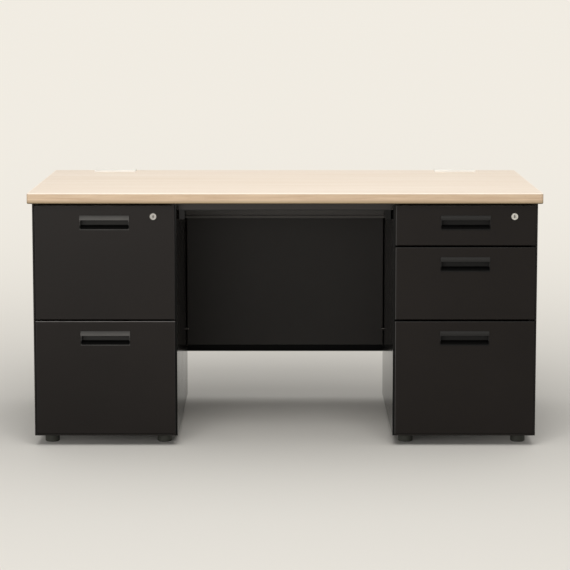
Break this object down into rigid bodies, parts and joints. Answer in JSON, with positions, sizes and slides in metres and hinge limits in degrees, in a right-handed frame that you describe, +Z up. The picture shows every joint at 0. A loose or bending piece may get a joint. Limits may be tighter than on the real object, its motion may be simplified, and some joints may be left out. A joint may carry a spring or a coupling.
{
  "type": "pedestal desk",
  "caption": "Steel office desk with drawer pedestals either side of a knee space, a woodgrain laminate top, recessed pulls, locks and cable outlets.",
  "frame": {"origin": "on the floor, under the middle of the top", "axes": "+Z up, +X to the sitter's right, the drawers open towards -Y"},
  "size_m": [1.4, 0.7, 0.7046],
  "materials": {
    "laminate": "satin woodgrain laminate",
    "edge": "satin woodgrain edge",
    "paint": "fine powder coat, dark warm charcoal",
    "drawer": "powder coat",
    "slide": "zinc plated",
    "handle": "moulded",
    "lock": "satin nickel",
    "foot": "moulded",
    "wiring": "moulded",
    "screw": "zinc plated"
  },
  "bodies": {
    "desk": {"desktop_board": "laminate", "desktop_edge": "edge", "left_wiring_frame": "wiring", "left_case_outer_side": "paint", "left_case_inner_side": "paint", "left_case_back": "paint", "left_case_bottom": "paint", "left_case_top": "paint", "left_slide_frames": "slide", "right_wiring_frame": "wiring", "right_case_outer_side": "paint", "right_case_inner_side": "paint", "right_case_back": "paint", "right_case_bottom": "paint", "right_case_top": "paint", "right_slide_frames": "slide", "front_rail": "paint", "rear_beam": "paint", "modesty_panel": "paint", "modesty_fixings": "screw", "rear_panel": "paint"},
    "left_wiring_flap_outer": {"left_wiring_flap_outer": "wiring"},
    "left_wiring_flap_inner": {"left_wiring_flap_inner": "wiring"},
    "left_front_outer_foot": {"left_front_outer_foot": "foot"},
    "left_front_inner_foot": {"left_front_inner_foot": "foot"},
    "left_rear_outer_foot": {"left_rear_outer_foot": "foot"},
    "left_rear_inner_foot": {"left_rear_inner_foot": "foot"},
    "right_wiring_flap_outer": {"right_wiring_flap_outer": "wiring"},
    "right_wiring_flap_inner": {"right_wiring_flap_inner": "wiring"},
    "right_front_outer_foot": {"right_front_outer_foot": "foot"},
    "right_front_inner_foot": {"right_front_inner_foot": "foot"},
    "right_rear_outer_foot": {"right_rear_outer_foot": "foot"},
    "right_rear_inner_foot": {"right_rear_inner_foot": "foot"},
    "left_upper_drawer": {"left_upper_drawer_front": "paint", "left_upper_drawer_box": "drawer", "left_upper_drawer_handle": "handle", "left_upper_drawer_runners": "slide", "left_lock_barrel": "lock"},
    "left_upper_drawer_middle_members": {"left_upper_drawer_middle_members": "slide"},
    "left_lock_plug": {"left_lock_plug": "lock"},
    "left_lower_drawer": {"left_lower_drawer_front": "paint", "left_lower_drawer_box": "drawer", "left_lower_drawer_handle": "handle", "left_lower_drawer_runners": "slide"},
    "left_lower_drawer_middle_members": {"left_lower_drawer_middle_members": "slide"},
    "right_pen_drawer": {"right_pen_drawer_front": "paint", "right_pen_drawer_box": "drawer", "right_pen_drawer_handle": "handle", "right_pen_drawer_runners": "slide", "right_lock_barrel": "lock"},
    "right_lock_plug": {"right_lock_plug": "lock"},
    "right_middle_drawer": {"right_middle_drawer_front": "paint", "right_middle_drawer_box": "drawer", "right_middle_drawer_handle": "handle", "right_middle_drawer_runners": "slide"},
    "right_file_drawer": {"right_file_drawer_front": "paint", "right_file_drawer_box": "drawer", "right_file_drawer_handle": "handle", "right_file_drawer_runners": "slide"},
    "right_file_drawer_middle_members": {"right_file_drawer_middle_members": "slide"}
  },
  "joints": [
    {"name": "left_wiring_flap_outer_hinge", "type": "hinge", "parent": "desk", "child": "left_wiring_flap_outer", "pos_m": [-0.513, 0.3342, 0.70285], "axis": [-1, 0, 0], "range_deg": [0, 105]},
    {"name": "left_wiring_flap_inner_hinge", "type": "hinge", "parent": "desk", "child": "left_wiring_flap_inner", "pos_m": [-0.513, 0.3342, 0.70285], "axis": [-1, 0, 0], "range_deg": [0, 105]},
    {"name": "left_front_outer_foot_screw", "type": "slide", "parent": "desk", "child": "left_front_outer_foot", "axis": [0, 0, -1], "range_m": [0, 0.008]},
    {"name": "left_front_inner_foot_screw", "type": "slide", "parent": "desk", "child": "left_front_inner_foot", "axis": [0, 0, -1], "range_m": [0, 0.008]},
    {"name": "left_rear_outer_foot_screw", "type": "slide", "parent": "desk", "child": "left_rear_outer_foot", "axis": [0, 0, -1], "range_m": [0, 0.008]},
    {"name": "left_rear_inner_foot_screw", "type": "slide", "parent": "desk", "child": "left_rear_inner_foot", "axis": [0, 0, -1], "range_m": [0, 0.008]},
    {"name": "right_wiring_flap_outer_hinge", "type": "hinge", "parent": "desk", "child": "right_wiring_flap_outer", "pos_m": [0.513, 0.3342, 0.70285], "axis": [-1, 0, 0], "range_deg": [0, 105]},
    {"name": "right_wiring_flap_inner_hinge", "type": "hinge", "parent": "desk", "child": "right_wiring_flap_inner", "pos_m": [0.513, 0.3342, 0.70285], "axis": [-1, 0, 0], "range_deg": [0, 105]},
    {"name": "right_front_outer_foot_screw", "type": "slide", "parent": "desk", "child": "right_front_outer_foot", "axis": [0, 0, -1], "range_m": [0, 0.008]},
    {"name": "right_front_inner_foot_screw", "type": "slide", "parent": "desk", "child": "right_front_inner_foot", "axis": [0, 0, -1], "range_m": [0, 0.008]},
    {"name": "right_rear_outer_foot_screw", "type": "slide", "parent": "desk", "child": "right_rear_outer_foot", "axis": [0, 0, -1], "range_m": [0, 0.008]},
    {"name": "right_rear_inner_foot_screw", "type": "slide", "parent": "desk", "child": "right_rear_inner_foot", "axis": [0, 0, -1], "range_m": [0, 0.008]},
    {"name": "left_upper_drawer_slide", "type": "slide", "parent": "desk", "child": "left_upper_drawer", "axis": [0, -1, 0], "range_m": [0, 0.5]},
    {"name": "left_upper_drawer_middle_members_slide", "type": "slide", "parent": "desk", "child": "left_upper_drawer_middle_members", "axis": [0, -1, 0], "range_m": [0, 0.25]},
    {"name": "left_lock_turn", "type": "hinge", "parent": "left_upper_drawer", "child": "left_lock_plug", "pos_m": [-0.3582, -0.338, 0.6355], "axis": [0, 1, 0], "range_deg": [0, 90]},
    {"name": "left_lower_drawer_slide", "type": "slide", "parent": "desk", "child": "left_lower_drawer", "axis": [0, -1, 0], "range_m": [0, 0.5]},
    {"name": "left_lower_drawer_middle_members_slide", "type": "slide", "parent": "desk", "child": "left_lower_drawer_middle_members", "axis": [0, -1, 0], "range_m": [0, 0.25]},
    {"name": "right_pen_drawer_slide", "type": "slide", "parent": "desk", "child": "right_pen_drawer", "axis": [0, -1, 0], "range_m": [0, 0.4]},
    {"name": "right_lock_turn", "type": "hinge", "parent": "right_pen_drawer", "child": "right_lock_plug", "pos_m": [0.6238, -0.338, 0.6355], "axis": [0, 1, 0], "range_deg": [0, 90]},
    {"name": "right_middle_drawer_slide", "type": "slide", "parent": "desk", "child": "right_middle_drawer", "axis": [0, -1, 0], "range_m": [0, 0.4]},
    {"name": "right_file_drawer_slide", "type": "slide", "parent": "desk", "child": "right_file_drawer", "axis": [0, -1, 0], "range_m": [0, 0.5]},
    {"name": "right_file_drawer_middle_members_slide", "type": "slide", "parent": "desk", "child": "right_file_drawer_middle_members", "axis": [0, -1, 0], "range_m": [0, 0.25]}
  ],
  "couplings": [
    {"joint": "left_upper_drawer_middle_members_slide", "follows": "left_upper_drawer_slide", "ratio": 0.5},
    {"joint": "left_lower_drawer_middle_members_slide", "follows": "left_lower_drawer_slide", "ratio": 0.5},
    {"joint": "right_file_drawer_middle_members_slide", "follows": "right_file_drawer_slide", "ratio": 0.5}
  ]
}
